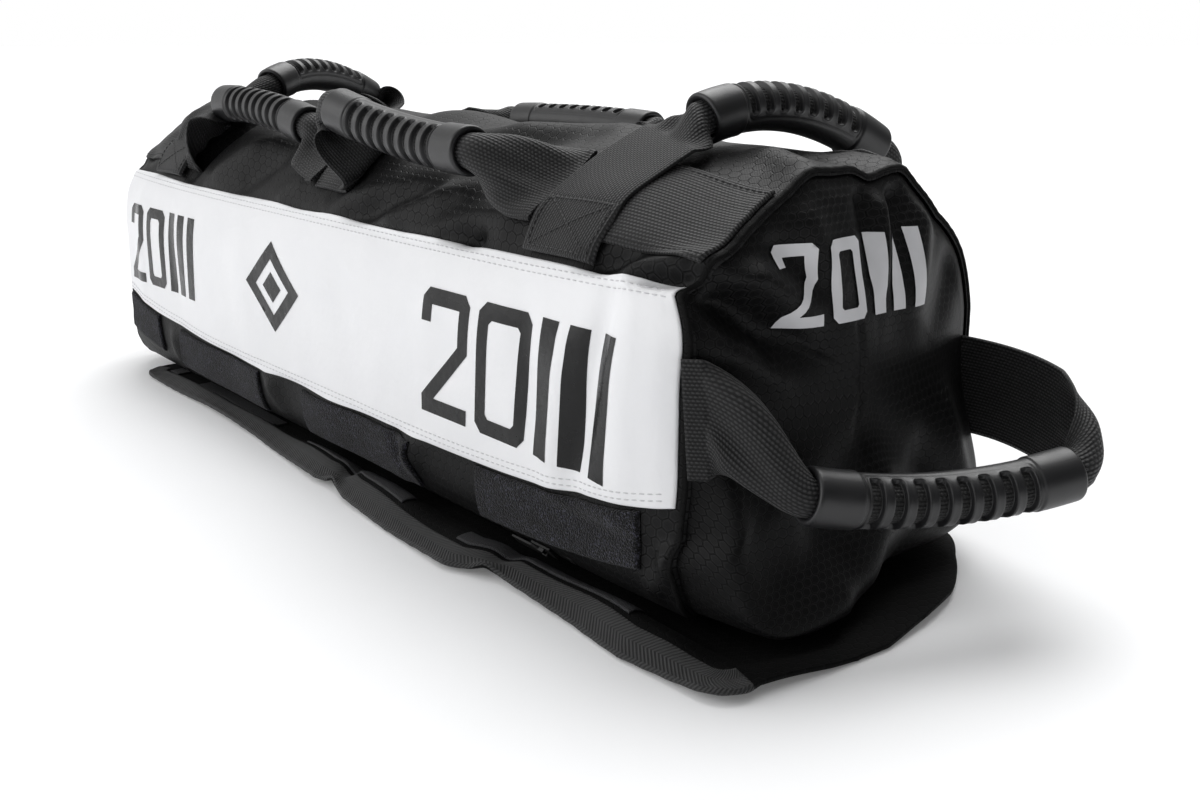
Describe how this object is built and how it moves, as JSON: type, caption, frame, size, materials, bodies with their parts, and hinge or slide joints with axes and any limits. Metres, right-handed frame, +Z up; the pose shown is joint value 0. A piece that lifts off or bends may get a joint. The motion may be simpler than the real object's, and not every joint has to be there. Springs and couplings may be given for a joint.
{
  "type": "sandbag trainer",
  "caption": "Sand-filled fabric training bag with webbing carry handles in slotted grips, a white band, loop patches, a zip and a closing flap under it",
  "frame": {"origin": "On the floor under the middle of the bag, at the underside of its flap.", "axes": "+X runs along the bag to the near end, -Y is the front with the white band, +Z is up and -Z points at the floor."},
  "size_m": [0.8074, 0.2326, 0.2333],
  "materials": {
    "ripstop_fabric": "matte black ripstop with a fine hexagon grid",
    "white_vinyl": "satin white coated cloth",
    "loop_pile": "fuzzy navy black loop pile",
    "webbing": "charcoal ribbed webbing",
    "grip_plastic": "satin black, slightly rubbery",
    "filler_canvas": "grey canvas",
    "binding_tape": "dark grey herringbone tape",
    "hook_tape": "black hook tape"
  },
  "bodies": {
    "bag": {"shell_body": "ripstop_fabric", "end_panel_near": "ripstop_fabric", "end_panel_far": "ripstop_fabric", "flap_inner": "ripstop_fabric", "filler_bag_1": "filler_canvas", "loop_patch_1": "loop_pile", "filler_bag_2": "filler_canvas", "loop_patch_2": "loop_pile", "filler_bag_3": "filler_canvas", "loop_patch_3": "loop_pile", "filler_bag_4": "filler_canvas", "loop_patch_4": "loop_pile", "white_band": "white_vinyl", "strap_front_near": "webbing", "strap_front_middle": "webbing", "strap_front_far": "webbing", "strap_back_near": "webbing", "strap_back_far": "webbing", "cross_patch_near_front": "webbing", "cross_patch_near_back": "webbing", "cross_patch_far_front": "webbing", "cross_patch_far_back": "webbing", "zip_tape": "binding_tape", "zip_chain": "grip_plastic", "zip_stop_near": "grip_plastic", "zip_stop_far": "grip_plastic"},
    "handle_cross_near": {"handle_cross_near_grip": "grip_plastic", "handle_cross_near_webbing": "webbing"},
    "handle_cross_far": {"handle_cross_far_grip": "grip_plastic", "handle_cross_far_webbing": "webbing"},
    "handle_front_near": {"handle_front_near_grip": "grip_plastic", "handle_front_near_webbing": "webbing"},
    "handle_front_far": {"handle_front_far_grip": "grip_plastic", "handle_front_far_webbing": "webbing"},
    "handle_back_middle": {"handle_back_middle_grip": "grip_plastic", "handle_back_middle_webbing": "webbing"},
    "handle_end_near": {"handle_end_near_grip": "grip_plastic", "handle_end_near_webbing": "webbing"},
    "handle_end_far": {"handle_end_far_grip": "grip_plastic", "handle_end_far_webbing": "webbing"},
    "flap_fold": {"flap_front": "ripstop_fabric", "flap_binding": "binding_tape", "hook_strip_1": "hook_tape", "hook_strip_2": "hook_tape", "hook_strip_3": "hook_tape", "hook_strip_4": "hook_tape"},
    "zip_slider": {"zip_slider": "grip_plastic"},
    "zip_pull": {"zip_pull": "grip_plastic"}
  },
  "joints": [
    {"name": "handle_cross_near_swing", "type": "hinge", "parent": "bag", "child": "handle_cross_near", "pos_m": [0.239, 0, 0.2007], "axis": [0, 1, 0], "range_deg": [-12, 45], "deforming": ["handle_cross_near_webbing"]},
    {"name": "handle_cross_far_swing", "type": "hinge", "parent": "bag", "child": "handle_cross_far", "pos_m": [-0.2245, 0, 0.2007], "axis": [0, 1, 0], "range_deg": [-30, 6], "deforming": ["handle_cross_far_webbing"]},
    {"name": "handle_front_near_swing", "type": "hinge", "parent": "bag", "child": "handle_front_near", "pos_m": [0, -0.06807, 0.1819], "axis": [1, 0, 0], "range_deg": [-60, 48], "deforming": ["handle_front_near_webbing"]},
    {"name": "handle_front_far_swing", "type": "hinge", "parent": "bag", "child": "handle_front_far", "pos_m": [0, -0.06807, 0.1819], "axis": [1, 0, 0], "range_deg": [-12, 60], "deforming": ["handle_front_far_webbing"]},
    {"name": "handle_back_middle_swing", "type": "hinge", "parent": "bag", "child": "handle_back_middle", "pos_m": [0, 0.06807, 0.1819], "axis": [1, 0, 0], "range_deg": [-42, 33], "deforming": ["handle_back_middle_webbing"]},
    {"name": "handle_end_near_swing", "type": "hinge", "parent": "bag", "child": "handle_end_near", "pos_m": [0.303, 0, 0.0922], "axis": [0, 1, 0], "range_deg": [-78, 14], "deforming": ["handle_end_near_webbing"]},
    {"name": "handle_end_far_swing", "type": "hinge", "parent": "bag", "child": "handle_end_far", "pos_m": [-0.303, 0, 0.0922], "axis": [0, 1, 0], "range_deg": [-14, 78], "deforming": ["handle_end_far_webbing"]},
    {"name": "flap_fold", "type": "hinge", "parent": "bag", "child": "flap_fold", "pos_m": [0, -0.093, 0.0029], "axis": [-1, 0, 0], "range_deg": [0, 36]},
    {"name": "zip_slide", "type": "slide", "parent": "bag", "child": "zip_slider", "axis": [1, 0, 0], "range_m": [-0.42, 0]},
    {"name": "zip_pull_swing", "type": "hinge", "parent": "zip_slider", "child": "zip_pull", "pos_m": [0.208, -0.09683, 0.0113], "axis": [0, -0.6774, 0.7357], "range_deg": [0, 5]}
  ]
}
